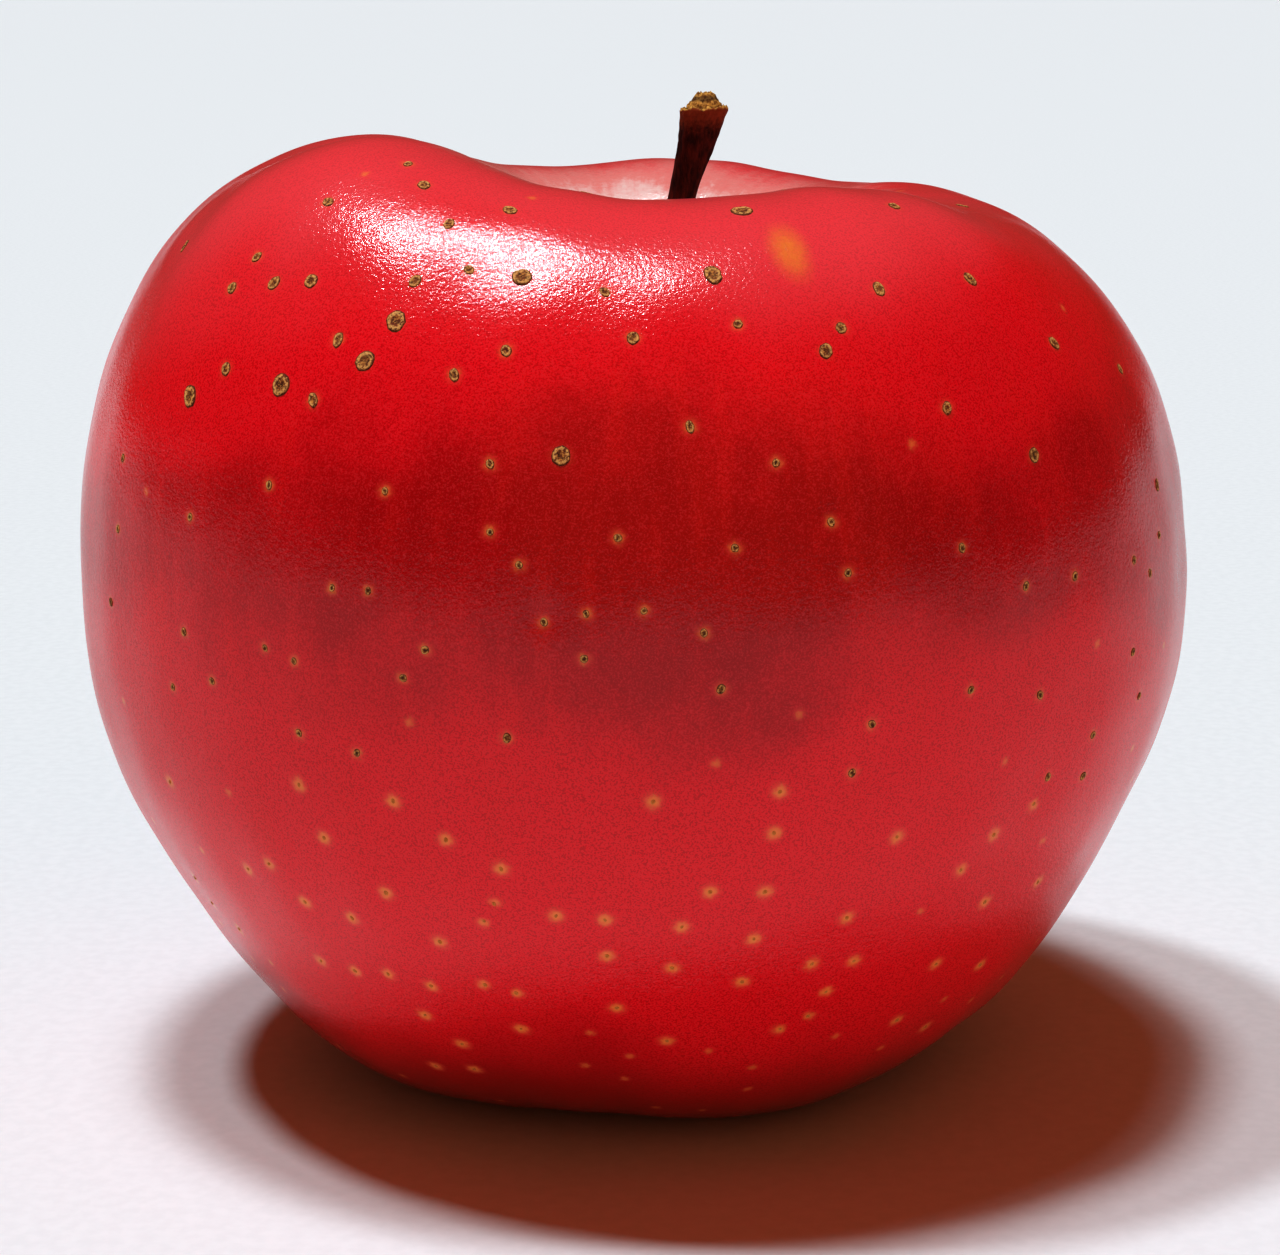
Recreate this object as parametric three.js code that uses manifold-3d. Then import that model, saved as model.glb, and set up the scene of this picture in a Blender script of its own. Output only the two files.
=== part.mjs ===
// A large red apple: the fruit with its stem cavity and calyx basin, its woody stem, and the five dried
// sepals and the dried stamens in the eye under the fruit.
// Millimetres, +Z up. The apple stands on its feet on z = 0 with its stem up. The origin is under the
// middle of the fruit.

import * as THREE from "three";
import { mergeVertices } from "three/addons/utils/BufferGeometryUtils.js";
import Module from "manifold-3d";

// Control points of the fruit's meridian, from the floor of the stem cavity over the shoulder and down
// the flank to the floor of the calyx basin: distance from the core line, height, how far the point
// follows the shoulder lobes (0 to 1), and how far it follows the feet (0 to 1).
const MERIDIAN = [
  [0.0, 54.0, 0, 0],
  [3.0, 54.2, 0, 0],
  [5.5, 57.5, 0.15, 0],
  [9.8, 63.6, 0.5, 0],
  [17.6, 69.4, 0.95, 0],
  [29.3, 68.3, 1, 0],
  [37.4, 58.7, 0.75, 0],
  [41.5, 47.4, 0.35, 0],
  [41.7, 33.8, 0.1, 0],
  [38.1, 21.9, 0, 0.1],
  [28.1, 5.1, 0, 0.35],
  [17.0, 0.3, 0, 0.8],
  [10.6, 1.2, 0, 1],
  [6.5, 5.0, 0, 0.7],
  [3.5, 8.0, 0, 0.25],
  [0.0, 8.6, 0, 0],
];

// The five lobes: azimuth in degrees from +X towards +Y, rise of the shoulder and drop of the foot.
const LOBES = [
  { azimuth: 76, rise: 1.7, drop: 1.05 },
  { azimuth: 156, rise: 2.6, drop: 1.15 },
  { azimuth: 218, rise: 3.4, drop: 1.1 },
  { azimuth: 311, rise: 1.7, drop: 1.05 },
  { azimuth: 21, rise: 1.1, drop: 1.0 },
];
const LOBE_SHARPNESS = 10;
// How much further out a shoulder reaches for each millimetre that it stands higher.
const SPREAD_PER_RISE = 0.006;
// The whole shoulder leans up towards the left and, a little, towards the front.
const LEAN_TO_RIGHT = -1.3;
const LEAN_TO_BACK = -0.35;
// The fruit is a little wider than it is deep, and a little fuller on its left.
const OVAL = 0.025;
const FULLER_RIGHT = -0.01;
// Each foot is pressed flat by this much where it rests.
const FLAT_DEPTH = 0.25;
const AZIMUTH_STEPS = 64;
const STEPS_PER_STATION = 4;

// The stem's middle line from its root in the fruit to its parted end, and its radius there.
const STEM_LINE = [
  { at: [-0.5, 0.3, 48.6], radius: 1.1 },
  { at: [-0.3, 0.3, 52.0], radius: 1.25 },
  { at: [0.1, 0.2, 55.0], radius: 1.15 },
  { at: [0.9, 0.0, 59.0], radius: 1.0 },
  { at: [2.0, -0.2, 63.5], radius: 0.98 },
  { at: [3.3, -0.3, 68.5], radius: 1.06 },
  { at: [4.1, -0.4, 71.3], radius: 1.34 },
  { at: [4.5, -0.5, 72.8], radius: 1.5 },
  { at: [4.85, -0.6, 74.4], radius: 1.75 },
];
// The parted end closes over the last ring of the stem: height above that ring and radius.
const STEM_SCAR = [
  { up: 0.35, radius: 1.45 },
  { up: 0.5, radius: 0.85 },
  { up: 1.2, radius: 0.7 },
  { up: 1.55, radius: 0.4 },
];
const STEM_SIDES = 12;
const STEM_STEPS = 16;
const STEM_RIDGES = 3;
const STEM_RIDGE_HEIGHT = 0.07;
// The hole that holds the stem's root, and the clearance round any piece that sits in another.
const STEM_HOLE_FLOOR = 48.2;
const CLEARANCE = 0.3;
// Joins and cuts leave no detail finer than this.
const FINEST_DETAIL = 0.008;

// The eye under the fruit: the ring that carries the sepals, its recess, and the stamens inside it.
const EYE_ROOF = 9.4;
const RING_RADIUS = 2.7;
const RING_BORE = 1.35;
const RING_BOTTOM = 7.6;
const SEPAL_COUNT = 5;
// A sepal's middle line: distance from the core line, height, half width.
const SEPAL_LINE = [
  { out: 2.0, height: 8.4, halfWidth: 0.75 },
  { out: 2.15, height: 7.0, halfWidth: 1.0 },
  { out: 2.6, height: 5.6, halfWidth: 1.2 },
  { out: 3.3, height: 4.4, halfWidth: 1.15 },
  { out: 4.1, height: 3.7, halfWidth: 0.9 },
  { out: 5.0, height: 3.6, halfWidth: 0.5 },
  { out: 5.6, height: 4.0, halfWidth: 0.25 },
];
const SEPAL_HALF_THICKNESS = 0.35;
const SEPAL_CUP = 0.3;
const STAMEN_COUNT = 5;
const STAMEN_RADIUS = 0.3;
const STAMEN_CIRCLE = 0.65;
const STAMEN_LENGTH = 3.4;
const STAMEN_SPREAD = 0.45;
const EYE_SEED = 11;

const wasm = await Module();
wasm.setup();

// Repeatable random numbers from 0 to 1.
function seeded(seed) {
  let state = seed;
  return () => {
    state = (state * 16807) % 2147483647;
    return state / 2147483647;
  };
}

function radians(degrees) {
  return (degrees * Math.PI) / 180;
}

// A closed surface through a row of rings, each a list of points of the same length. A cap is the point
// that closes the row before its first ring or after its last one. The rings run counterclockwise seen
// from the last cap.
function closedLoft(firstCap, rings, lastCap) {
  const sides = rings[0].length;
  const positions = [firstCap, ...rings.flat(), lastCap].flatMap((point) => [...point]);
  const last = rings.length - 1;
  const lastIndex = 1 + rings.length * sides;
  const vertex = (ring, side) => 1 + ring * sides + (side % sides);
  const faces = [];
  for (let side = 0; side < sides; side += 1) {
    faces.push(0, vertex(0, side + 1), vertex(0, side));
    for (let ring = 0; ring < last; ring += 1) {
      faces.push(vertex(ring, side), vertex(ring, side + 1), vertex(ring + 1, side + 1));
      faces.push(vertex(ring, side), vertex(ring + 1, side + 1), vertex(ring + 1, side));
    }
    faces.push(lastIndex, vertex(last, side), vertex(last, side + 1));
  }
  const geometry = new THREE.BufferGeometry();
  geometry.setAttribute("position", new THREE.Float32BufferAttribute(positions, 3));
  geometry.setIndex(faces);
  return geometry;
}

// A solid that can be joined and cut, from a closed geometry.
function solidOf(geometry) {
  const bare = geometry.clone();
  bare.deleteAttribute("normal");
  bare.deleteAttribute("uv");
  const merged = mergeVertices(bare);
  const vertProperties = new Float32Array(merged.getAttribute("position").array);
  const triVerts = new Uint32Array(merged.getIndex().array);
  return new wasm.Manifold(new wasm.Mesh({ numProp: 3, vertProperties, triVerts }));
}

function geometryOf(solid) {
  const mesh = solid.asOriginal().simplify(FINEST_DETAIL).getMesh();
  const geometry = new THREE.BufferGeometry();
  geometry.setAttribute("position", new THREE.BufferAttribute(mesh.vertProperties, 3));
  geometry.setIndex(new THREE.BufferAttribute(mesh.triVerts, 1));
  geometry.computeVertexNormals();
  return geometry;
}

// A bell curve round a lobe's azimuth, 1 at the lobe.
function nearLobe(azimuth, lobe) {
  return Math.exp(LOBE_SHARPNESS * (Math.cos(azimuth - radians(lobe.azimuth)) - 1));
}

// What the fruit does at one azimuth: the shoulder's rise, the foot's drop and the girth's factor.
function azimuthForm(azimuth) {
  const lean = LEAN_TO_RIGHT * Math.cos(azimuth) + LEAN_TO_BACK * Math.sin(azimuth);
  const lobeRise = LOBES.reduce((sum, lobe) => sum + lobe.rise * nearLobe(azimuth, lobe), 0);
  const drop = LOBES.reduce((sum, lobe) => sum + lobe.drop * nearLobe(azimuth, lobe), 0);
  const girth = 1 + OVAL * Math.cos(2 * azimuth) + FULLER_RIGHT * Math.cos(azimuth);
  return { rise: lean + lobeRise, drop, girth };
}

// A control point of the meridian at one azimuth. Past either end the meridian is mirrored in the core
// line, which keeps both floors smooth.
function station(index, form) {
  const last = MERIDIAN.length - 1;
  const mirrored = index < 0 || index > last;
  const inside = index < 0 ? -index : Math.min(index, 2 * last - index);
  const [out, height, shoulder, foot] = MERIDIAN[inside];
  const side = mirrored ? -1 : 1;
  const spread = 1 + SPREAD_PER_RISE * shoulder * form.rise;
  return [side * out * form.girth * spread, height + shoulder * form.rise - foot * form.drop];
}

// A point of the skin. Place counts the stations from 0 at the cavity floor, on a cubic B-spline.
function skinPoint(azimuth, place) {
  const form = azimuthForm(azimuth);
  const span = Math.min(Math.floor(place), MERIDIAN.length - 2);
  const t = place - span;
  const weights = [
    (1 - t) ** 3 / 6,
    (3 * t ** 3 - 6 * t ** 2 + 4) / 6,
    (-3 * t ** 3 + 3 * t ** 2 + 3 * t + 1) / 6,
    t ** 3 / 6,
  ];
  let out = 0;
  let height = 0;
  weights.forEach((weight, step) => {
    const [stationOut, stationHeight] = station(span + step - 1, form);
    out += weight * stationOut;
    height += weight * stationHeight;
  });
  return new THREE.Vector3(out * Math.cos(azimuth), out * Math.sin(azimuth), height);
}

// The grown fruit before anything is cut from it, from the basin floor up to the cavity floor.
function grownFruit() {
  const places = (MERIDIAN.length - 1) * STEPS_PER_STATION;
  const rings = [];
  for (let step = places - 1; step > 0; step -= 1) {
    const ring = [];
    for (let side = 0; side < AZIMUTH_STEPS; side += 1) {
      ring.push(skinPoint((2 * Math.PI * side) / AZIMUTH_STEPS, step / STEPS_PER_STATION));
    }
    rings.push(ring);
  }
  return closedLoft(skinPoint(0, MERIDIAN.length - 1), rings, skinPoint(0, 0));
}

// The stem's middle line as a curve, and its radius at a share of the way along it.
function stemCurve() {
  return new THREE.CatmullRomCurve3(STEM_LINE.map((point) => new THREE.Vector3(...point.at)));
}

function stemRadius(share) {
  const place = share * (STEM_LINE.length - 1);
  const index = Math.min(Math.floor(place), STEM_LINE.length - 2);
  return THREE.MathUtils.lerp(STEM_LINE[index].radius, STEM_LINE[index + 1].radius, place - index);
}

// A ring across the stem, its bark drawn into soft ridges that turn slowly round it.
function stemRing(centre, radius, share) {
  const ring = [];
  for (let side = 0; side < STEM_SIDES; side += 1) {
    const angle = (2 * Math.PI * side) / STEM_SIDES;
    const ridge = 1 + STEM_RIDGE_HEIGHT * Math.cos(STEM_RIDGES * angle + 2 * share);
    const x = centre.x + radius * ridge * Math.cos(angle);
    const y = centre.y + radius * ridge * Math.sin(angle);
    ring.push(new THREE.Vector3(x, y, centre.z));
  }
  return ring;
}

function stemSolid(extraRadius, floor) {
  const curve = stemCurve();
  const rings = [];
  for (let step = 0; step <= STEM_STEPS; step += 1) {
    const share = step / STEM_STEPS;
    rings.push(stemRing(curve.getPoint(share), stemRadius(share) + extraRadius, share));
  }
  const end = curve.getPoint(1);
  STEM_SCAR.forEach(({ up, radius }) => {
    rings.push(stemRing(new THREE.Vector3(end.x, end.y, end.z + up), radius + extraRadius, 1));
  });
  const root = curve.getPoint(0);
  const top = new THREE.Vector3(end.x, end.y, end.z + STEM_SCAR.at(-1).up + 0.1);
  return solidOf(closedLoft(new THREE.Vector3(root.x, root.y, floor), rings, top));
}

// A disc round the core line, with a bore where one is asked for.
function disc(radius, bottom, top, bore = 0) {
  const outline = [
    [bore, bottom],
    [radius, bottom],
    [radius, top],
    [bore, top],
    [bore, bottom],
  ];
  const points = outline.map(([out, height]) => new THREE.Vector2(out, height));
  const geometry = new THREE.LatheGeometry(points, 20);
  geometry.rotateX(Math.PI / 2);
  return solidOf(geometry);
}

// The fruit with the hole for the stem's root, the recess of the eye and its flat resting spots.
function fruitSolid() {
  const grown = solidOf(grownFruit());
  const stemHole = stemSolid(CLEARANCE, STEM_HOLE_FLOOR);
  const eyeRecess = disc(RING_RADIUS + CLEARANCE, 0, EYE_ROOF);
  return grown.subtract(stemHole).subtract(eyeRecess).subtract(tableUnder(grown));
}

// A block whose top is the table that the feet are pressed flat on.
function tableUnder(grown) {
  const top = tableHeight(grown);
  const thickness = 10;
  const table = new THREE.BoxGeometry(200, 200, thickness);
  table.translate(0, 0, top - thickness / 2);
  return solidOf(table);
}

function tableHeight(grown) {
  return grown.boundingBox().min[2] + FLAT_DEPTH;
}

// One dried sepal: a flat-sided cupped blade along its middle line, turned to its azimuth.
function sepal(azimuth, curl) {
  const rings = SEPAL_LINE.map(({ out, height, halfWidth }) => {
    const far = (out - SEPAL_LINE[0].out) * curl;
    const section = [
      [halfWidth, SEPAL_CUP],
      [0, -SEPAL_HALF_THICKNESS],
      [-halfWidth, SEPAL_CUP],
      [-halfWidth * 0.9, SEPAL_CUP + SEPAL_HALF_THICKNESS],
      [0, SEPAL_HALF_THICKNESS],
      [halfWidth * 0.9, SEPAL_CUP + SEPAL_HALF_THICKNESS],
    ];
    const droop = Math.min(far / 3, 1);
    return section.map(([across, through]) => {
      const x = SEPAL_LINE[0].out + far - through * (1 - droop);
      return new THREE.Vector3(x, across, height + through * droop);
    });
  });
  const middle = (ring) => ring[1].clone().add(ring[4]).multiplyScalar(0.5);
  const geometry = closedLoft(middle(rings[0]), rings, middle(rings.at(-1)));
  geometry.rotateZ(azimuth);
  return solidOf(geometry);
}

// The ring of the eye with its five sepals, in one piece.
function calyxSolid() {
  const random = seeded(EYE_SEED);
  const ringTop = EYE_ROOF - CLEARANCE;
  let calyx = disc(RING_RADIUS, RING_BOTTOM, ringTop, RING_BORE);
  for (let count = 0; count < SEPAL_COUNT; count += 1) {
    const azimuth = (2 * Math.PI * (count + 0.2 * random())) / SEPAL_COUNT;
    calyx = calyx.add(sepal(azimuth, 0.75 + 0.35 * random()));
  }
  return calyx;
}

// One withered stamen: a thin four-sided tube that bends away from the core line.
function stamen(azimuth, length, spread) {
  const start = EYE_ROOF - CLEARANCE - 0.3;
  const rings = [];
  for (let step = 0; step <= 3; step += 1) {
    const share = step / 3;
    const out = STAMEN_CIRCLE + spread * share ** 2;
    const ring = [];
    for (let side = 0; side < 4; side += 1) {
      const angle = (Math.PI * side) / 2;
      const x = out + STAMEN_RADIUS * Math.cos(angle);
      const y = -STAMEN_RADIUS * Math.sin(angle);
      ring.push(new THREE.Vector3(x, y, start - length * share));
    }
    rings.push(ring);
  }
  const first = new THREE.Vector3(STAMEN_CIRCLE, 0, start + 0.05);
  const end = new THREE.Vector3(STAMEN_CIRCLE + spread, 0, start - length - 0.2);
  const geometry = closedLoft(first, rings, end);
  geometry.rotateZ(azimuth);
  return solidOf(geometry);
}

// The withered stamens, fused to the small disc that they grow from.
function stamensSolid() {
  const random = seeded(EYE_SEED);
  const discTop = EYE_ROOF - CLEARANCE;
  let tuft = disc(RING_BORE - CLEARANCE, discTop - 0.8, discTop);
  for (let count = 0; count < STAMEN_COUNT; count += 1) {
    const azimuth = (2 * Math.PI * (count + 0.1 * random())) / STAMEN_COUNT;
    const length = STAMEN_LENGTH * (0.8 + 0.4 * random());
    tuft = tuft.add(stamen(azimuth, length, STAMEN_SPREAD * (0.4 + 0.8 * random())));
  }
  return tuft;
}

function piece(name, solid, colour, roughness) {
  const material = new THREE.MeshStandardMaterial({ color: colour, roughness, metalness: 0 });
  const mesh = new THREE.Mesh(geometryOf(solid), material);
  mesh.name = name;
  return mesh;
}

// The finished group stands on its feet, with the middle of the fruit over the origin.
function apple() {
  const fruit = fruitSolid();
  const { min, max } = fruit.boundingBox();
  const group = new THREE.Group();
  group.add(piece("fruit", fruit, 0xa1122a, 0.28));
  group.add(piece("stem", stemSolid(0, STEM_LINE[0].at[2] - 0.1), 0x5a2f1c, 0.85));
  group.add(piece("calyx", calyxSolid(), 0x6b4a2f, 0.9));
  group.add(piece("stamens", stamensSolid(), 0x3a281a, 0.9));
  group.position.set(-(min[0] + max[0]) / 2, -(min[1] + max[1]) / 2, -min[2]);
  group.updateMatrixWorld(true);
  return group;
}

export default apple();
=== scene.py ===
"""A large red apple on a pale floor: waxy crimson skin with corky lenticels, a dark woody stem with a
ragged parted end, and the dried calyx in the basin underneath.

Lengths are millimetres in this file and become metres where a mesh, a light or the camera is made.
The apple faces the camera with its -Y side, and +X is to the right."""

import math

import bpy
import numpy as np
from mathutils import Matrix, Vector
from mathutils.bvhtree import BVHTree


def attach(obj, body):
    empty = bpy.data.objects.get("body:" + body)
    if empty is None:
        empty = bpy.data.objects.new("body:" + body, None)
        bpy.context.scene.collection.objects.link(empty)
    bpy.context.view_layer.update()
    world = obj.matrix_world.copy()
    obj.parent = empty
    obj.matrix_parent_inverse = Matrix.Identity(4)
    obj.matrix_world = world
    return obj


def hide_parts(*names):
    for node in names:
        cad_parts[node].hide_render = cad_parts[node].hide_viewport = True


MM = 0.001

# The camera and the photograph's frame

IMAGE_WIDTH = 1280
IMAGE_HEIGHT = 1255
SENSOR_WIDTH = 36.0
LENS = 80.0
CAMERA_DISTANCE = 223.0
CAMERA_ELEVATION = math.radians(12.5)
CAMERA_AIM = np.array([0.52, 0.0, 34.32])

# The fruit's form, as in the solid model

# Control points of the meridian from the floor of the stem cavity to the floor of the calyx basin:
# distance from the core line, height, share of the shoulder lobes and share of the feet.
MERIDIAN = np.array([
    (0.0, 54.0, 0, 0),
    (3.0, 54.2, 0, 0),
    (5.5, 57.5, 0.15, 0),
    (9.8, 63.6, 0.5, 0),
    (17.6, 69.4, 0.95, 0),
    (29.3, 68.3, 1, 0),
    (37.4, 58.7, 0.75, 0),
    (41.5, 47.4, 0.35, 0),
    (41.7, 33.8, 0.1, 0),
    (38.1, 21.9, 0, 0.1),
    (28.1, 5.1, 0, 0.35),
    (17.0, 0.3, 0, 0.8),
    (10.6, 1.2, 0, 1),
    (6.5, 5.0, 0, 0.7),
    (3.5, 8.0, 0, 0.25),
    (0.0, 8.6, 0, 0),
])
# Azimuth in degrees, rise of the shoulder and drop of the foot.
LOBES = ((76, 1.7, 1.05), (156, 2.6, 1.15), (218, 3.4, 1.1), (311, 1.7, 1.05), (21, 1.1, 1.0))
LOBE_SHARPNESS = 10
SPREAD_PER_RISE = 0.006
LEAN_TO_RIGHT = -1.3
LEAN_TO_BACK = -0.35
OVAL = 0.025
FULLER_RIGHT = -0.01
FLAT_DEPTH = 0.25
FLAT_EDGE = 0.12
# The meridian's length is measured here.
MEASURED_AZIMUTH = 200

# The skin's mesh and its relief

SKIN_SEED = 1
SKIN_STEPS = 128
SWELL_WAVES = 12
SWELL_LENGTH = 24.0
SWELL_HEIGHT = 0.22
RIPPLE_WAVES = 24
RIPPLE_LENGTH = 7.0
RIPPLE_HEIGHT = 0.035
RIB_HEIGHT = 0.05
RIB_COUNTS = (5, 11, 17, 23)
# The ribs come in between these distances from the core line.
RIB_FADE = (4, 20)
# Two small dents, and a flatter place on the front of the shoulder: pixel, radius round the fruit and
# up its side, and depth.
DENTS = (
    ((830, 519), 1.1, 1.1, 0.16),
    ((544, 619), 1.1, 1.1, 0.16),
    ((535, 262), 12.0, 4.6, 0.32),
)

# Lenticels on the side that the photograph shows, by the pixel of their middle

LARGE_SPOTS = (
    (522, 277), (396, 321), (365, 361), (561, 456), (281, 385), (190, 396), (713, 275), (742, 211),
)
UPPER_SPOTS = (
    (185, 246), (257, 257), (274, 283), (311, 281), (232, 288), (328, 202), (408, 164),
    (424, 185), (449, 224), (510, 210), (415, 281), (469, 270), (338, 340), (226, 369),
    (313, 400), (454, 375), (506, 351), (633, 338), (690, 427), (826, 351),
    (841, 328), (879, 289), (970, 279), (962, 206), (894, 206),
    (1054, 343), (1120, 369), (947, 408), (1034, 455), (1157, 485), (605, 292),
)
MIDDLE_SPOTS = (
    (269, 485), (385, 491), (190, 517), (123, 458), (118, 529), (332, 588), (368, 591),
    (184, 632), (111, 602), (294, 661), (212, 681), (173, 687), (299, 733), (357, 753),
    (490, 464), (831, 522), (490, 532), (618, 538), (735, 548), (519, 565), (586, 614),
    (644, 611), (544, 622), (704, 633), (584, 659), (721, 689), (507, 738), (848, 573),
    (962, 548), (1026, 586), (1075, 576), (1134, 560), (1159, 535), (1150, 573), (1133, 652),
    (971, 690), (1040, 695), (872, 724), (852, 773), (1048, 777), (1083, 776), (1093, 735),
    (1139, 696), (776, 463), (265, 648), (425, 650), (403, 678), (738, 324),
)
LOWER_SPOTS = (
    (170, 782), (299, 785), (393, 801), (324, 838), (446, 840), (501, 869), (248, 869),
    (269, 864), (386, 893), (305, 902), (494, 904), (484, 921), (556, 916), (352, 918),
    (440, 942), (321, 961), (355, 971), (388, 974), (431, 986), (485, 985), (516, 993),
    (425, 1015), (521, 1029), (462, 1044), (436, 1066), (474, 1069), (195, 878), (212, 903),
    (239, 929), (653, 802), (780, 792), (774, 833), (897, 837), (994, 835), (961, 870),
    (985, 902), (1034, 804), (1038, 882), (605, 920), (710, 892), (765, 892), (682, 927),
    (754, 939), (847, 918), (607, 956), (672, 968), (812, 964), (854, 961), (742, 982),
    (826, 992), (617, 1008), (667, 1041), (780, 1029), (808, 1016), (936, 964), (980, 965),
    (897, 1020), (925, 1027),
)
FAINT_SPOTS = (
    (365, 174), (532, 198), (900, 191), (912, 444), (1063, 308), (146, 491), (409, 722),
    (229, 793),
)
# For each kind: half the cork's length, how far its width may be narrowed, how dark its middle and its
# outline are (the outline partly painted shade), and the radius and strength of the pale halo round it.
SPOT_KINDS = {
    "large": (0.70, 0.22, 0.12, 0.75, 1.15, 0.35),
    "upper": (0.49, 0.30, 0.15, 0.6, 0.95, 0.45),
    "middle": (0.30, 0.20, 0.70, 0.6, 0.85, 0.50),
    "lower": (0.16, 0.30, 0.0, 0.0, 1.05, 0.75),
    "faint": (0.0, 0.0, 0.0, 0.0, 0.65, 0.40),
}
# A halo is at full strength within the first distance of its middle, and gone past the second. Where
# the next lenticel is less than these farther away, it fades too.
HALO_REACH = (0.95, 1.4)
HALO_GAP = (1.2, 1.8)
SPOT_SEED = 5
SPOT_TRIES = 9000
# Distance between the lenticels that the photograph doesn't show, at the top and at the base, and the
# heights between which it grows.
SPOT_GAP_TOP = 5.4
SPOT_GAP_BASE = 3.1
SPOT_GAP_HEIGHTS = (5, 50)
# None of those stand inside the cavity and the eye: distance from the core line and height.
CAVITY_RIM = (18, 40)
EYE_RIM = (7, 12)
# Skin that faces the camera by more than this cosine gets faint ones only, below this height and at
# this share of the places.
SEEN_COSINE = -0.12
FAINT_TOP = 40
FAINT_SHARE = 0.6
# Elsewhere a draw below this gives a faint one. The others: lowest height, common kind, rarer kind and
# the draw that it takes.
FAINT_DRAW = 0.12
KINDS_BY_HEIGHT = (
    (48, "upper", "large", 0.86),
    (22, "middle", "upper", 0.90),
    (-math.inf, "lower", "middle", 0.85),
)
SPOT_SIDES = 14
# A lenticel from its middle out: share of its radius, and height as a share of its rim's height.
SPOT_PROFILE = ((0.28, 0.5), (0.52, 0.7), (0.76, 1.0), (0.93, 0.65), (1.12, -0.8))
SPOT_RIM_HEIGHT = 0.07
# How uneven its outline is and how rough its crust, as shares of its radius and of its rim's height,
# and how far it may be turned, in radians.
SPOT_WAVE = 0.07
SPOT_JITTER = 0.06
SPOT_CRUST = 0.16
SPOT_TURN = 0.5

# The stem's middle line and radius, as in the solid model, in that model's unshifted place

STEM_LINE = np.array([
    (-0.5, 0.3, 48.6, 1.1),
    (-0.3, 0.3, 52.0, 1.25),
    (0.1, 0.2, 55.0, 1.15),
    (0.9, 0.0, 59.0, 1.0),
    (2.0, -0.2, 63.5, 0.98),
    (3.3, -0.3, 68.5, 1.06),
    (4.1, -0.4, 71.3, 1.34),
    (4.5, -0.5, 72.8, 1.5),
    (4.85, -0.6, 74.4, 1.75),
])
STEM_SIDES = 64
STEM_STEPS = 150
STEM_SEED = 3
FURROW_COUNTS = (7, 11, 16, 23)
# The bark's soft ridges, furrows and flakes, as shares of the stem's radius.
RIDGE_SHARE = 0.07
FURROW_SHARE = 0.022
FLAKE_SHARE = 0.018
# The parted end over the last ring: height above it, radius, how ragged the ring is, how much its torn
# wood shows and how much painted shade darkens it. A lip, a groove, a knob and the knob's pit; the painted
# shade lies in the groove, in a ring on the knob and in the pit.
STEM_SCAR = (
    (0.16, 1.76, 0.18, 0.5, 0.0),
    (0.22, 1.62, 0.16, 1.0, 0.0),
    (0.08, 1.50, 0.10, 1.0, 0.4),
    (-0.06, 1.42, 0.06, 1.0, 0.8),
    (0.04, 1.34, 0.08, 1.0, 0.5),
    (0.38, 1.26, 0.14, 1.0, 0.0),
    (0.62, 1.12, 0.14, 1.0, 0.0),
    (0.78, 0.98, 0.10, 1.0, 0.7),
    (0.98, 0.80, 0.10, 1.0, 0.7),
    (1.18, 0.64, 0.12, 1.0, 0.0),
    (1.34, 0.46, 0.10, 1.0, 0.1),
    (1.08, 0.24, 0.03, 1.0, 1.0),
)
# The parted end leans: its right side is higher by this share of the distance from the middle.
SCAR_SLOPE = 0.07
SCAR_JAG = 0.4

# The dried calyx and stamens in the eye

EYE_HEIGHT = 8.9
RING_SIDES = 40
RING_PROFILE = ((1.35, 0.0), (1.4, -1.2), (1.9, -1.55), (2.5, -1.3), (2.7, -0.6), (2.6, 0.1))
SEPAL_COUNT = 5
SEPAL_LINE = np.array([
    (2.0, 8.1, 0.85),
    (2.15, 7.0, 1.05),
    (2.6, 5.6, 1.2),
    (3.3, 4.4, 1.1),
    (4.1, 3.75, 0.85),
    (4.9, 3.6, 0.5),
    (5.3, 3.95, 0.12),
])
SEPAL_STEPS = 30
SEPAL_ACROSS = 9
SEPAL_THICKNESS = 0.28
SEPAL_CUP = 0.35
SEPAL_WAVE = 0.12
STAMEN_COUNT = 16
STAMEN_STEPS = 14
STAMEN_SIDES = 7
STAMEN_LENGTH = 3.6
STAMEN_RADIUS = 0.11
# Each stamen stands this share of a turn after the one before, and a little farther out.
STAMEN_TURN = 0.382
STAMENS_REACH = 0.95
EYE_SEED = 11


# Small tools

def metres(points):
    return np.asarray(points, dtype=float) * MM


def make_object(name, material, points, faces):
    """A mesh object from points in millimetres and lists of corner numbers."""
    mesh = bpy.data.meshes.new(name)
    mesh.from_pydata(metres(points).tolist(), [], faces)
    mesh.validate()
    mesh.polygons.foreach_set("use_smooth", [True] * len(mesh.polygons))
    mesh.update()
    mesh.materials.append(material)
    thing = bpy.data.objects.new(name, mesh)
    bpy.context.scene.collection.objects.link(thing)
    return thing


def set_attribute(thing, name, values):
    """One number for each of the object's points, which its material reads by name."""
    layer = thing.data.attributes.new(name, "FLOAT", "POINT")
    layer.data.foreach_set("value", np.asarray(values, dtype=np.float32))


def angles_round(sides):
    return np.arange(sides) * 2 * math.pi / sides


def swells(points, length, count, random):
    """A smooth random field, mostly between -1 and 1, with waves of about the given length."""
    field = np.zeros(len(points))
    for _ in range(count):
        direction = random.normal(size=3)
        direction *= 2 * math.pi / (length * np.linalg.norm(direction))
        field += np.sin(points @ direction + random.uniform(0, 2 * math.pi))
    return field / math.sqrt(count)


def smoothstep(low, high, value):
    """0 at low and 1 at high, in either order, with a smooth change between."""
    share = np.clip((value - low) / (high - low), 0, 1)
    return share * share * (3 - 2 * share)


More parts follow.
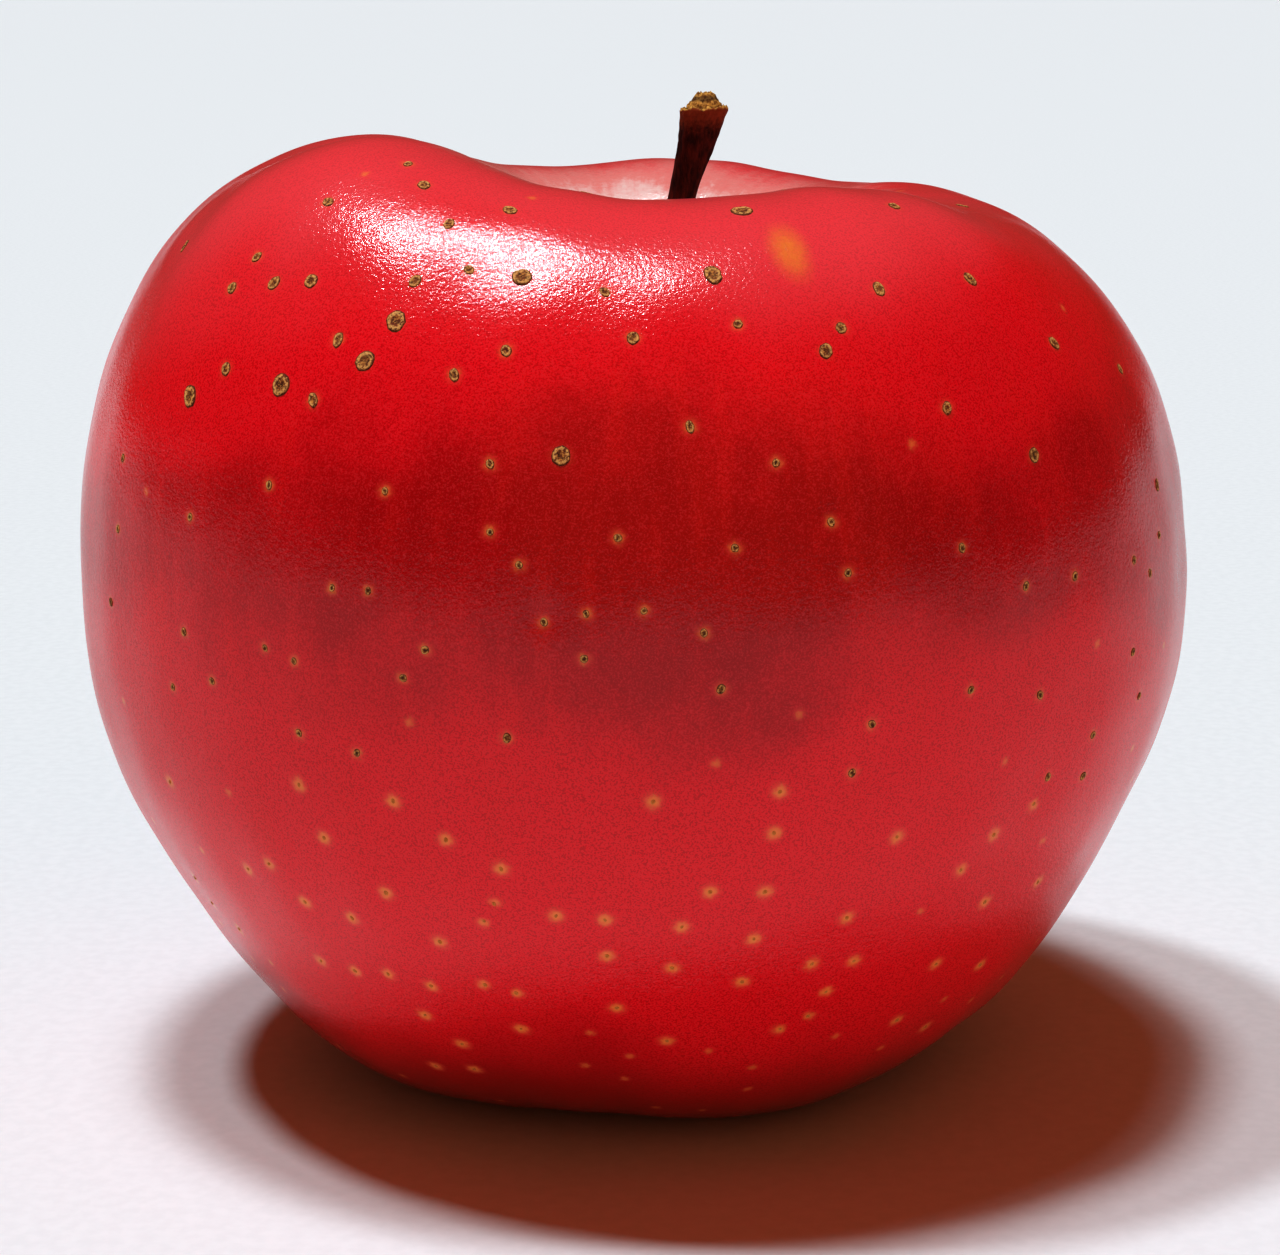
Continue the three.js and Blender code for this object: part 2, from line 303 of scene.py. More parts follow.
def loft(rings, first, last):
    """Points and faces of a closed surface through rings of equal length, with a point at each end.
    The rings run counterclockwise seen from the last point."""
    count, sides = rings.shape[:2]
    points = np.vstack([[first], rings.reshape(-1, 3), [last]])
    end = len(points) - 1
    faces = []
    for side in range(sides):
        beside = (side + 1) % sides
        faces.append((0, 1 + beside, 1 + side))
        for ring in range(count - 1):
            low = 1 + ring * sides
            high = low + sides
            faces.append((low + side, low + beside, high + beside, high + side))
        top = 1 + (count - 1) * sides
        faces.append((end, top + side, top + beside))
    return points, faces


def disc_faces(rings, sides):
    """Faces of a disc: a middle point and rings of points round it, counterclockwise seen from above."""
    faces = []
    for side in range(sides):
        beside = (side + 1) % sides
        faces.append((0, 1 + side, 1 + beside))
        for ring in range(rings - 1):
            low = 1 + ring * sides
            high = low + sides
            faces.append((low + side, high + side, high + beside, low + beside))
    return faces


def joined(parts):
    """Several (points, faces) as one."""
    points = []
    faces = []
    start = 0
    for part_points, part_faces in parts:
        points.append(part_points)
        faces.extend(tuple(corner + start for corner in face) for face in part_faces)
        start += len(part_points)
    return np.vstack(points), faces


def along_curve(stations, shares):
    """Rows between the given stations, on a smooth curve through them all."""
    last = len(stations) - 1
    place = np.asarray(shares) * last
    span = np.minimum(place.astype(int), last - 1)
    t = (place - span)[:, None]
    padded = np.vstack([2 * stations[0] - stations[1], stations, 2 * stations[-1] - stations[-2]])
    before, start, end, after = (padded[span + step] for step in range(4))
    straight = (end - before) * t
    bend = (2 * before - 5 * start + 4 * end - after) * t ** 2
    close = (3 * start - before - 3 * end + after) * t ** 3
    return start + 0.5 * (straight + bend + close)


# The camera

def camera_axes():
    """The camera's place and its right, up and forward directions."""
    back = np.array([0.0, -math.cos(CAMERA_ELEVATION), math.sin(CAMERA_ELEVATION)])
    right = np.array([1.0, 0.0, 0.0])
    return CAMERA_AIM + CAMERA_DISTANCE * back, right, np.cross(back, right), -back


def make_camera():
    place, _, _, forward = camera_axes()
    data = bpy.data.cameras.new("camera")
    data.sensor_fit = "HORIZONTAL"
    data.sensor_width = SENSOR_WIDTH
    data.lens = LENS
    data.clip_start = 0.01
    data.clip_end = 300.0
    camera = bpy.data.objects.new("camera", data)
    camera.location = metres(place)
    camera.rotation_euler = Vector(forward).to_track_quat("-Z", "Y").to_euler()
    bpy.context.scene.collection.objects.link(camera)
    bpy.context.scene.camera = camera


def pixel_ray(pixel):
    """The camera's place and the direction in which it sees a pixel of the photograph."""
    place, right, up, forward = camera_axes()
    focal = LENS / SENSOR_WIDTH * IMAGE_WIDTH
    across = (pixel[0] - IMAGE_WIDTH / 2) / focal
    down = (pixel[1] - IMAGE_HEIGHT / 2) / focal
    return place, forward + across * right - down * up


# The fruit

def lobe_sum(azimuth, column):
    """The lobes' rise (column 1) or drop (column 2) at each azimuth."""
    total = np.zeros_like(azimuth)
    for lobe in LOBES:
        total += lobe[column] * np.exp(LOBE_SHARPNESS * (np.cos(azimuth - math.radians(lobe[0])) - 1))
    return total


def skin_points(azimuth, place):
    """Points of the fruit, for azimuths and places that count stations along the meridian."""
    rise = LEAN_TO_RIGHT * np.cos(azimuth) + LEAN_TO_BACK * np.sin(azimuth) + lobe_sum(azimuth, 1)
    drop = lobe_sum(azimuth, 2)
    girth = 1 + OVAL * np.cos(2 * azimuth) + FULLER_RIGHT * np.cos(azimuth)
    last = len(MERIDIAN) - 1
    span = np.minimum(place.astype(int), last - 1)
    t = place - span
    weights = ((1 - t) ** 3, 3 * t ** 3 - 6 * t ** 2 + 4, -3 * t ** 3 + 3 * t ** 2 + 3 * t + 1, t ** 3)
    out = np.zeros_like(t)
    height = np.zeros_like(t)
    for step, weight in enumerate(weights):
        index = span + step - 1
        side = np.where((index < 0) | (index > last), -1, 1)
        inside = np.where(index < 0, -index, np.minimum(index, 2 * last - index))
        station_out, station_height, shoulder, foot = MERIDIAN[inside].T
        out += weight / 6 * side * station_out * girth * (1 + SPREAD_PER_RISE * shoulder * rise)
        height += weight / 6 * (station_height + shoulder * rise - foot * drop)
    return np.stack([out * np.cos(azimuth), out * np.sin(azimuth), height], axis=-1)


def sphere_grid(steps):
    """Directions and four-sided faces of a cube blown up to a sphere, in even steps of angle."""
    turn = np.tan(np.linspace(-math.pi / 4, math.pi / 4, steps + 1))
    a, b = np.meshgrid(turn, turn, indexing="ij")
    one = np.ones_like(a)
    sides = ((one, a, b), (-one, -a, b), (-a, one, b), (a, -one, b), (-b, a, one), (b, a, -one))
    corners = np.concatenate([np.stack(side, axis=-1).reshape(-1, 3) for side in sides])
    corners /= np.linalg.norm(corners, axis=1)[:, None]
    directions, number = np.unique(np.round(corners, 7), axis=0, return_inverse=True)
    number = number.reshape(6, steps + 1, steps + 1)
    faces = np.stack(
        [number[:, :-1, :-1], number[:, 1:, :-1], number[:, 1:, 1:], number[:, :-1, 1:]], axis=-1)
    return directions, faces.reshape(-1, 4)


def meridian_places(polar):
    """Places along the meridian for polar angles, in even steps of its length."""
    places = np.linspace(0, len(MERIDIAN) - 1, 400)
    line = skin_points(np.full_like(places, math.radians(MEASURED_AZIMUTH)), places)
    lengths = np.concatenate([[0], np.cumsum(np.linalg.norm(np.diff(line, axis=0), axis=1))])
    return np.interp(polar / math.pi, lengths / lengths[-1], places)


def vertex_normals(points, faces):
    """Outward directions at the points of a mesh of four-sided faces."""
    across = points[faces[:, 2]] - points[faces[:, 0]]
    along = points[faces[:, 3]] - points[faces[:, 1]]
    face_normals = np.cross(across, along)
    normals = np.zeros_like(points)
    for corner in range(4):
        np.add.at(normals, faces[:, corner], face_normals)
    return normals / np.linalg.norm(normals, axis=1)[:, None]


def skin_relief(points, azimuth, random):
    """How far the skin stands out of the plain form: slow swells, ripples and faint ribs."""
    relief = SWELL_HEIGHT * swells(points, SWELL_LENGTH, SWELL_WAVES, random)
    relief += RIPPLE_HEIGHT * swells(points, RIPPLE_LENGTH, RIPPLE_WAVES, random)
    fade = smoothstep(*RIB_FADE, np.hypot(points[:, 0], points[:, 1]))
    for count in RIB_COUNTS:
        phase = random.uniform(0, 2 * math.pi)
        rib = np.cos(count * azimuth + phase) / math.sqrt(count / RIB_COUNTS[0])
        relief += RIB_HEIGHT * fade * rib
    return relief


class Skin:
    """The fruit's surface: its points, faces and normals, and a tree that finds places on it."""

    def __init__(self):
        random = np.random.default_rng(SKIN_SEED)
        directions, self.faces = sphere_grid(SKIN_STEPS)
        azimuth = np.arctan2(directions[:, 1], directions[:, 0])
        polar = np.arccos(np.clip(directions[:, 2], -1, 1))
        plain = skin_points(azimuth, meridian_places(polar))
        self.lowest = plain[:, 2].min()
        self.middle = (plain.max(axis=0) + plain.min(axis=0)) / 2
        normals = vertex_normals(plain, self.faces)
        points = plain + normals * skin_relief(plain, azimuth, random)[:, None]
        self.points = self.placed(points)
        self.renew()
        for dent in DENTS:
            self.press(*dent)
        height = self.points[:, 2]
        self.points[:, 2] = 0.5 * (height + np.sqrt(height ** 2 + FLAT_EDGE ** 2))
        self.renew()

    def placed(self, points):
        """Points moved as the solid model is: over the origin, and standing on its flat spots."""
        return points - np.array([self.middle[0], self.middle[1], self.lowest + FLAT_DEPTH])

    def press(self, pixel, half_width, half_height, depth):
        """Presses a smooth dent into the skin."""
        place, normal = self.seen_at(pixel)
        round_it, up = spot_frame(normal)
        across = (self.points - place) @ round_it / half_width
        along = (self.points - place) @ up / half_height
        through = (self.points - place) @ normal / (half_width + half_height)
        share = np.exp(-across ** 2 - along ** 2 - through ** 2)
        self.points -= self.normals * (depth * share)[:, None]

    def renew(self):
        """Works out the normals and the tree after the points have moved."""
        self.normals = vertex_normals(self.points, self.faces)
        self.tree = BVHTree.FromPolygons(self.points.tolist(), self.faces.tolist())

    def seen_at(self, pixel):
        """The place and normal of the skin that the photograph shows at a pixel."""
        start, direction = pixel_ray(pixel)
        place, normal, _, _ = self.tree.ray_cast(Vector(start), Vector(direction))
        if place is None:
            raise ValueError(f"the fruit doesn't cover pixel {pixel}")
        return np.array(place), np.array(normal)


# The lenticels

def spot_list(skin):
    """Every lenticel as (place, normal, kind): those of the photograph, then the rule's."""
    spots = []
    seen = (LARGE_SPOTS, UPPER_SPOTS, MIDDLE_SPOTS, LOWER_SPOTS, FAINT_SPOTS)
    for kind, pixels in zip(SPOT_KINDS, seen):
        for pixel in pixels:
            place, normal = skin.seen_at(pixel)
            spots.append((place, normal, kind))
    return spots + ruled_spots(skin, [spot[0] for spot in spots])


def ruled_spots(skin, taken):
    """Lenticels by a seeded rule, closer together towards the base, and faint ones only where the
    photograph shows its own."""
    random = np.random.default_rng(SPOT_SEED)
    camera_place = camera_axes()[0]
    spots = []
    taken = list(taken)
    for number in random.integers(0, len(skin.points), SPOT_TRIES):
        place = skin.points[number]
        normal = skin.normals[number]
        out = math.hypot(place[0], place[1])
        in_cavity = out < CAVITY_RIM[0] and place[2] > CAVITY_RIM[1]
        in_eye = out < EYE_RIM[0] and place[2] < EYE_RIM[1]
        if in_cavity or in_eye:
            continue
        growth = smoothstep(*SPOT_GAP_HEIGHTS, place[2])
        gap = SPOT_GAP_BASE + (SPOT_GAP_TOP - SPOT_GAP_BASE) * growth
        if np.min(np.linalg.norm(np.array(taken) - place, axis=1)) < gap:
            continue
        taken.append(place)
        to_camera = camera_place - place
        seen = normal @ to_camera / np.linalg.norm(to_camera) > SEEN_COSINE
        if not seen:
            spots.append((place, normal, kind_at(place[2], random)))
        elif place[2] < FAINT_TOP and random.uniform() < FAINT_SHARE:
            spots.append((place, normal, "faint"))
    return spots


def kind_at(height, random):
    """The kind of a lenticel at a height: corkier above, paler below."""
    draw = random.uniform()
    if draw < FAINT_DRAW:
        return "faint"
    for lowest, common, rarer, rarer_draw in KINDS_BY_HEIGHT:
        if height > lowest:
            return rarer if draw > rarer_draw else common


def spot_frame(normal):
    """Two directions along the skin: round the fruit and up its side."""
    round_it = np.cross((0.0, 0.0, 1.0), normal)
    round_it /= max(np.linalg.norm(round_it), 1e-6)
    return round_it, np.cross(normal, round_it)


def spot_disc(place, normal, radius, narrowing, random):
    """Points, faces and ring shares of one corky lenticel: a low uneven crust, highest by its edge."""
    round_it, up = spot_frame(normal)
    turn = random.uniform(-SPOT_TURN, SPOT_TURN)
    narrow = 1 - narrowing * random.uniform(0.4, 1.0)
    angles = angles_round(SPOT_SIDES)
    wobble = 1 + SPOT_WAVE * np.sin(2 * angles + random.uniform(0, 6))
    wobble += random.uniform(-SPOT_JITTER, SPOT_JITTER, SPOT_SIDES)
    rim_height = SPOT_RIM_HEIGHT * (radius / 0.5) ** 0.6
    x = np.cos(angles) * radius * wobble * narrow
    y = np.sin(angles) * radius * wobble
    across = x * math.cos(turn) - y * math.sin(turn)
    along = x * math.sin(turn) + y * math.cos(turn)
    points = [place + normal * rim_height * random.uniform(0.2, 0.5)]
    shares = [0.0]
    for share, height in SPOT_PROFILE:
        rough = SPOT_CRUST * random.normal(size=SPOT_SIDES) * (share < 1)
        heights = rim_height * (height + rough)
        ring = place + np.outer(across * share, round_it) + np.outer(along * share, up)
        points.extend(ring + np.outer(heights, normal))
        shares.extend([share] * SPOT_SIDES)
    return np.array(points), disc_faces(len(SPOT_PROFILE), SPOT_SIDES), shares


def make_lenticels(spots):
    random = np.random.default_rng(SPOT_SEED)
    parts = []
    attributes = {"ring_share": [], "tone": [], "pit": [], "edge": []}
    for place, normal, kind in spots:
        length, narrowing, pit, edge, _, _ = SPOT_KINDS[kind]
        radius = length * random.uniform(0.8, 1.15)
        if radius == 0:
            continue
        points, faces, shares = spot_disc(place, normal, radius, narrowing, random)
        parts.append((points, faces))
        attributes["ring_share"].extend(shares)
        attributes["tone"].extend([random.uniform()] * len(points))
        attributes["pit"].extend([pit * random.uniform(0.5, 1.0)] * len(points))
        attributes["edge"].extend([edge] * len(points))
    thing = make_object("lenticels", cork_material(), *joined(parts))
    for name, values in attributes.items():
        set_attribute(thing, name, values)
    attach(thing, "root")


def set_halos(thing, points, spots):
    """Gives each point of the skin the middle of its nearest lenticel and the size and strength of
    its halo. The material measures from that middle, so a halo is finer than the mesh."""
    nearest = np.full(len(points), np.inf)
    second = np.full(len(points), np.inf)
    middles = points.copy()
    sizes = np.ones(len(points))
    strengths = np.zeros(len(points))
    for place, _, kind in spots:
        size, strength = SPOT_KINDS[kind][4:]
        distance = np.linalg.norm(points - place, axis=1)
        near = distance < nearest
        second = np.where(near, nearest, np.minimum(second, distance))
        nearest[near] = distance[near]
        middles[near] = place
        sizes[near] = size
        strengths[near] = strength
    strengths *= smoothstep(HALO_REACH[1], HALO_REACH[0], nearest)
    strengths *= smoothstep(HALO_GAP[0], HALO_GAP[1], second - nearest)
    layer = thing.data.attributes.new("halo_middle", "FLOAT_VECTOR", "POINT")
    layer.data.foreach_set("vector", (middles * MM).astype(np.float32).ravel())
    set_attribute(thing, "halo_size", sizes)
    set_attribute(thing, "halo_strength", strengths)


def make_fruit(skin, spots):
    material = skin_material(skin.seen_at(GROUND_PATCH_PIXEL))
    thing = make_object("apple_fruit", material, skin.points, skin.faces.tolist())
    set_halos(thing, skin.points, spots)
    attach(thing, "root")
    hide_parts("fruit")


# The stem

def stem_ring(centre, radius, factors, angles):
    reach = radius * factors
    flat = np.stack([reach * np.cos(angles), reach * np.sin(angles), np.zeros_like(angles)], axis=-1)
    return centre + flat


def bark_factors(share, angles, phases):
    """The bark's radius round the stem, as factors: three soft ridges, fine furrows and flakes."""
    factors = 1 + RIDGE_SHARE * np.cos(3 * angles + 2 * share)
    for count, phase in phases:
        drift = phase + 3.0 * math.sin(share * 5 + phase)
        factors += FURROW_SHARE * np.cos(count * angles + drift) / math.sqrt(count / FURROW_COUNTS[0])
    flakes = np.sin(share * 61 + 3 * np.cos(2 * angles)) * np.sin(7 * angles + share * 23)
    return factors + FLAKE_SHARE * flakes


def make_stem(skin):
    random = np.random.default_rng(STEM_SEED)
    angles = angles_round(STEM_SIDES)
    phases = [(count, random.uniform(0, 2 * math.pi)) for count in FURROW_COUNTS]
    shares = np.linspace(0, 1, STEM_STEPS + 1)
    rows = along_curve(STEM_LINE, shares)
    rings = []
    for share, row in zip(shares, rows):
        rings.append(stem_ring(row[:3], row[3], bark_factors(share, angles, phases), angles))
    wood = [0.0] * len(rings)
    dark = [0.0] * len(rings)
    end = rows[-1][:3]
    factors = bark_factors(1, angles, phases)
    for step, (up, radius, ragged, woody, shade) in enumerate(STEM_SCAR):
        ring = stem_ring(end + (0, 0, up), radius, factors, angles)
        jags = np.sin(5 * angles + step) + np.sin(9 * angles + 2.0 * step)
        jags += random.normal(size=STEM_SIDES)
        ring[:, 2] += ragged * SCAR_JAG * jags + SCAR_SLOPE * (ring[:, 0] - end[0])
        rings.append(ring)
        wood.append(woody)
        dark.append(shade)
    first = rows[0][:3] - (0, 0, 0.1)
    pit = end + (0, 0, STEM_SCAR[-1][0] - 0.05)
    points, faces = loft(np.array(rings), first, pit)
    thing = make_object("apple_stem", bark_material(), skin.placed(points), faces)
    set_attribute(thing, "wood", [0.0, *np.repeat(wood, STEM_SIDES), 1.0])
    set_attribute(thing, "dark", [0.0, *np.repeat(dark, STEM_SIDES), 1.0])
    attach(thing, "root")
    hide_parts("stem")


# The calyx and the stamens

def turned(points, azimuth):
    """Points turned round the core line."""
    cos, sin = math.cos(azimuth), math.sin(azimuth)
    x, y, z = np.asarray(points).T
    return np.stack([x * cos - y * sin, x * sin + y * cos, z], axis=-1)


def sepal(azimuth, curl, random):
    """One withered sepal: a thin cupped blade with a wavy edge, curled out at its tip."""
    shares = np.linspace(0, 1, SEPAL_STEPS)
    rows = along_curve(SEPAL_LINE, shares)
    across = np.linspace(-1, 1, SEPAL_ACROSS)
    phase = random.uniform(0, 2 * math.pi)
    twist = random.uniform(-0.5, 0.5)
    rings = []
    for share, (out, height, half_width) in zip(shares, rows):
        half_width = max(half_width, 0.05)
        droop = min((out - SEPAL_LINE[0][0]) * curl / 3, 1)
        lean = twist * share
        thickness = SEPAL_THICKNESS * (1 - 0.7 * share)
        sheets = []
        for side, order in ((-0.5, across), (0.5, across[::-1])):
            wave = SEPAL_WAVE * share * np.sin(14 * share + phase + 4 * order)
            cup = SEPAL_CUP * half_width * order ** 2
            through = cup + wave + side * thickness * (1 - 0.8 * order ** 2)
            y = half_width * order * math.cos(lean) - through * math.sin(lean)
            lift = half_width * order * math.sin(lean) + through * math.cos(lean)
            x = SEPAL_LINE[0][0] + (out - SEPAL_LINE[0][0]) * curl - lift * (1 - droop)
            sheets.append(np.stack([x, -y, height + lift * droop], axis=-1))
        rings.append(np.vstack(sheets))
    rings = np.array(rings)
    points, faces = loft(rings, rings[0].mean(axis=0), rings[-1].mean(axis=0))
    return turned(points, azimuth), faces


def eye_ring():
    """The short woody ring that the sepals grow from."""
    angles = angles_round(RING_SIDES)
    rings = []
    for radius, height in RING_PROFILE:
        reach = radius * (1 + 0.03 * np.sin(10 * angles))
        level = np.full(RING_SIDES, EYE_HEIGHT + height)
        rings.append(np.stack([reach * np.cos(angles), reach * np.sin(angles), level], axis=-1))
    faces = []
    for ring in range(len(rings)):
        low = ring * RING_SIDES
        high = (ring + 1) % len(rings) * RING_SIDES
        for side in range(RING_SIDES):
            beside = (side + 1) % RING_SIDES
            faces.append((low + side, high + side, high + beside, low + beside))
    return np.vstack(rings), faces


def make_calyx(skin):
    random = np.random.default_rng(EYE_SEED)
    parts = [eye_ring()]
    for count in range(SEPAL_COUNT):
        azimuth = 2 * math.pi * (count + random.uniform(0, 0.2)) / SEPAL_COUNT
        parts.append(sepal(azimuth, random.uniform(0.75, 1.05), random))
    points, faces = joined(parts)
    material = dry_material("dried_sepal", SEPAL_DARK, SEPAL_LIGHT, SEPAL_FIBRES)
    thing = make_object("dried_calyx", material, skin.placed(points), faces)
    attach(thing, "root")
    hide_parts("calyx")


def stamen(azimuth, start_out, spread, length, random):
    """One withered stamen: a thin bent filament with a shrunken anther at its end."""
    shares = np.linspace(0, 1, STAMEN_STEPS)
    angles = angles_round(STAMEN_SIDES)
    sway = random.uniform(-0.25, 0.25)
    rings = []
    for share in shares:
        anther = math.exp(-((share - 0.93) / 0.07) ** 2)
        radius = STAMEN_RADIUS + 0.05 * (1 - share) + 0.13 * anther
        centre = (start_out + spread * share ** 2, sway * math.sin(3 * share), EYE_HEIGHT - length * share)
        ring = [
            (centre[0] + radius * math.cos(angle), centre[1] - radius * math.sin(angle), centre[2])
            for angle in angles
        ]
        rings.append(ring)
    rings = np.array(rings)
    first = rings[0].mean(axis=0)
    last = rings[-1].mean(axis=0) - (0, 0, 0.08)
    points, faces = loft(rings, first, last)
    return turned(points, azimuth), faces


def make_stamens(skin):
    random = np.random.default_rng(EYE_SEED)
    parts = []
    for count in range(STAMEN_COUNT):
        azimuth = 2 * math.pi * count * STAMEN_TURN
        start_out = STAMENS_REACH * math.sqrt((count + 0.3) / STAMEN_COUNT)
        length = STAMEN_LENGTH * random.uniform(0.75, 1.15)
        parts.append(stamen(azimuth, start_out, random.uniform(0.1, 0.45), length, random))
    points, faces = joined(parts)
    material = dry_material("dried_stamen", STAMEN_DARK, STAMEN_LIGHT, STAMEN_FIBRES)
    thing = make_object("dried_stamens", material, skin.placed(points), faces)
    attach(thing, "root")
    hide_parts("stamens")


# Materials

class Shader:
    """A material's node tree, with short calls for the nodes that the finishes use."""

    def __init__(self, name):
        self.material = bpy.data.materials.new(name)
        self.material.use_nodes = True
        self.tree = self.material.node_tree
        self.surface = self.tree.nodes["Principled BSDF"]

    def connect(self, value, socket):
        """Links a socket, or sets a number or colour."""
        if isinstance(value, bpy.types.NodeSocket):
            self.tree.links.new(value, socket)
        else:
            socket.default_value = value

    def math(self, operation, first, second=0.0, third=0.0):
        node = self.tree.nodes.new("ShaderNodeMath")
        node.operation = operation
        for socket, value in zip(node.inputs, (first, second, third)):
            self.connect(value, socket)
        return node.outputs[0]

    def times(self, first, second):
        return self.math("MULTIPLY", first, second)

    def vector(self, operation, first, second=None, scale=None):
        node = self.tree.nodes.new("ShaderNodeVectorMath")
        node.operation = operation
        self.connect(first, node.inputs[0])
        if second is not None:
            self.connect(second, node.inputs[1])
        if scale is not None:
            self.connect(scale, node.inputs["Scale"])
        return node.outputs["Value" if operation in ("LENGTH", "DOT_PRODUCT") else "Vector"]

    def place(self):
        """The object's own coordinates in millimetres."""
        node = self.tree.nodes.new("ShaderNodeTexCoord")
        return self.vector("SCALE", node.outputs["Object"], scale=1 / MM)

    def parts(self, vector):
        node = self.tree.nodes.new("ShaderNodeSeparateXYZ")
        self.connect(vector, node.inputs[0])
        return node.outputs

    def combine(self, x, y, z):
        node = self.tree.nodes.new("ShaderNodeCombineXYZ")
        for socket, value in zip(node.inputs, (x, y, z)):
            self.connect(value, socket)
        return node.outputs[0]

    def noise(self, vector, scale, detail, roughness=0.55):
        node = self.tree.nodes.new("ShaderNodeTexNoise")
        self.connect(vector, node.inputs["Vector"])
        node.inputs["Scale"].default_value = scale
        node.inputs["Detail"].default_value = detail
        node.inputs["Roughness"].default_value = roughness
        return node.outputs["Fac"]

    def attribute(self, name, output="Fac"):
        node = self.tree.nodes.new("ShaderNodeAttribute")
        node.attribute_name = name
        return node.outputs[output]

    def spread(self, value, low, high, to_low=0.0, to_high=1.0):
        """A value from low to high, moved smoothly to the range from to_low to to_high."""
        node = self.tree.nodes.new("ShaderNodeMapRange")
        node.interpolation_type = "SMOOTHSTEP"
        names = ("Value", "From Min", "From Max", "To Min", "To Max")
        for name, number in zip(names, (value, low, high, to_low, to_high)):
            self.connect(number, node.inputs[name])
        return node.outputs["Result"]

    def mix(self, share, first, second):
        node = self.tree.nodes.new("ShaderNodeMix")
        node.data_type = "RGBA"
        self.connect(share, node.inputs["Factor"])
        self.connect(first, node.inputs[6])
        self.connect(second, node.inputs[7])
        return node.outputs[2]

    def bump(self, height, strength, depth, before=None):
        """A bump of a real depth in millimetres."""
        node = self.tree.nodes.new("ShaderNodeBump")
        node.inputs["Strength"].default_value = strength
        node.inputs["Distance"].default_value = depth * MM
        self.connect(height, node.inputs["Height"])
        if before is not None:
            self.connect(before, node.inputs["Normal"])
        return node.outputs["Normal"]

    def finish(self, colour, roughness, normal=None, **constants):
        """Sets the surface: linked colour, roughness and normal, and numbers straight on sockets."""
        self.connect(colour, self.surface.inputs["Base Color"])
        self.connect(roughness, self.surface.inputs["Roughness"])
        if normal is not None:
            self.connect(normal, self.surface.inputs["Normal"])
        for name, value in constants.items():
            self.surface.inputs[name.replace("_", " ")].default_value = value
        return self.material


# The skin's finish

# Noises by name: waves per millimetre, detail and roughness. The streaks run down the meridians.
SKIN_NOISES = {
    "clouds": (0.045, 2.0, 0.55),
    "patches": (0.25, 4.0, 0.62),
    "flecks": (2.2, 2.0, 0.6),
    "grain": (7.5, 1.0, 0.6),
    "peel": (3.4, 2.0, 0.7),
}
STREAK_NOISE = (0.7, 3.0, 0.6)
STREAK_RADIUS = 30.0
STREAK_SQUEEZE = 0.12
# How far the clouds shift the skin's bands up and down.
CLOUD_RISE = 24.0

DEEP_RED = (0.46, 0.0010, 0.0042, 1)
BRIGHT_RED = (0.94, 0.0060, 0.0200, 1)
WARM_RED = (0.88, 0.0170, 0.0100, 1)
PINK_FLECK = (0.82, 0.045, 0.060, 1)
PAINTED_SHEEN_PINK = (0.88, 0.17, 0.20, 1)
PAINTED_SHADE_BASE_RED = (0.36, 0.0010, 0.0030, 1)
# Painted light and shade: the red is bright above and below a darker band of painted shade, and a little
# brighter to both sides.
PAINTED_LIGHT_ABOVE = (61.0, 72.0)
PAINTED_LIGHT_BELOW = (57.0, 44.0)
PAINTED_LIGHT_BESIDE = (16.0, 34.0, 0.0, 0.3)
TONE_WEIGHTS = {"clouds": 0.45, "patches": 0.60, "streaks": 0.30, "flecks": 0.35}
TONE_RANGE = (0.65, 1.78)
# Layers over the red: the pattern, from which value to which it comes in, its strength and its colour.
RED_LAYERS = (
    ("streaks", 0.45, 0.75, 0.25, WARM_RED),
    ("flecks", 0.56, 0.80, 0.22, PINK_FLECK),
    ("grain", 0.50, 0.64, 0.35, PINK_FLECK),
    ("grain", 0.50, 0.38, 0.50, DEEP_RED),
    # Painted sheen: the red turns pink towards the top, where the highlights' haze lies.
    ("ragged_z", 70.0, 82.0, 0.38, PAINTED_SHEEN_PINK),
    # Painted shade: the red darkens towards the base.
    ("ragged_z", 27.0, 14.0, 0.85, PAINTED_SHADE_BASE_RED),
)

# The patch of ground colour: its reach round the fruit, up its side and through the skin.
GROUND_ORANGE = (0.92, 0.30, 0.05, 1)
GROUND_PATCH_PIXEL = (789, 250)
GROUND_REACH = (0.85, 1.7, 4.0)
GROUND_EDGE = (8.0, -2.0)
GROUND_STRENGTH = 1.7

# Halos: where each begins and is full, as shares of its radius, its strength and its colour.
HALO_PINK = (0.94, 0.13, 0.07, 1)
HALO_GOLD = (0.98, 0.36, 0.08, 1)
HALO_LAYERS = ((1.0, 0.25, 0.75, HALO_PINK), (0.62, 0.10, 1.0, HALO_GOLD))

# The cavity's and the eye's pale skin: from which distance from the core line to which it comes in,
# and from which height to which.
CAVITY_SALMON = (0.84, 0.34, 0.31, 1)
# Partly the pale skin itself and partly painted sheen of the lamps on the cavity's back wall.
CAVITY_CREAM_AND_SHEEN = (0.90, 0.74, 0.70, 1)
CAVITY_GREEN = (0.42, 0.36, 0.09, 1)
HOLLOW_RAGS = {"streaks": 3.0, "patches": 5.0, "flecks": 3.0}
CAVITY_REACH = (27.5, 21.0)
CAVITY_HEIGHTS = (40.0, 50.0)
CREAM_AND_SHEEN_REACH = (21.5, 18.5)
GREEN_REACH = (8.0, 3.5)
EYE_REACH = (17.0, 9.5)
EYE_HEIGHTS = (20.0, 10.0)

# Depths of the skin's grain, and of the wax layer's stronger grain and slow swells.
PEEL_DEPTH = 0.030
WAX_DEPTH = 0.040
WAX_SWELL_DEPTH = 0.06


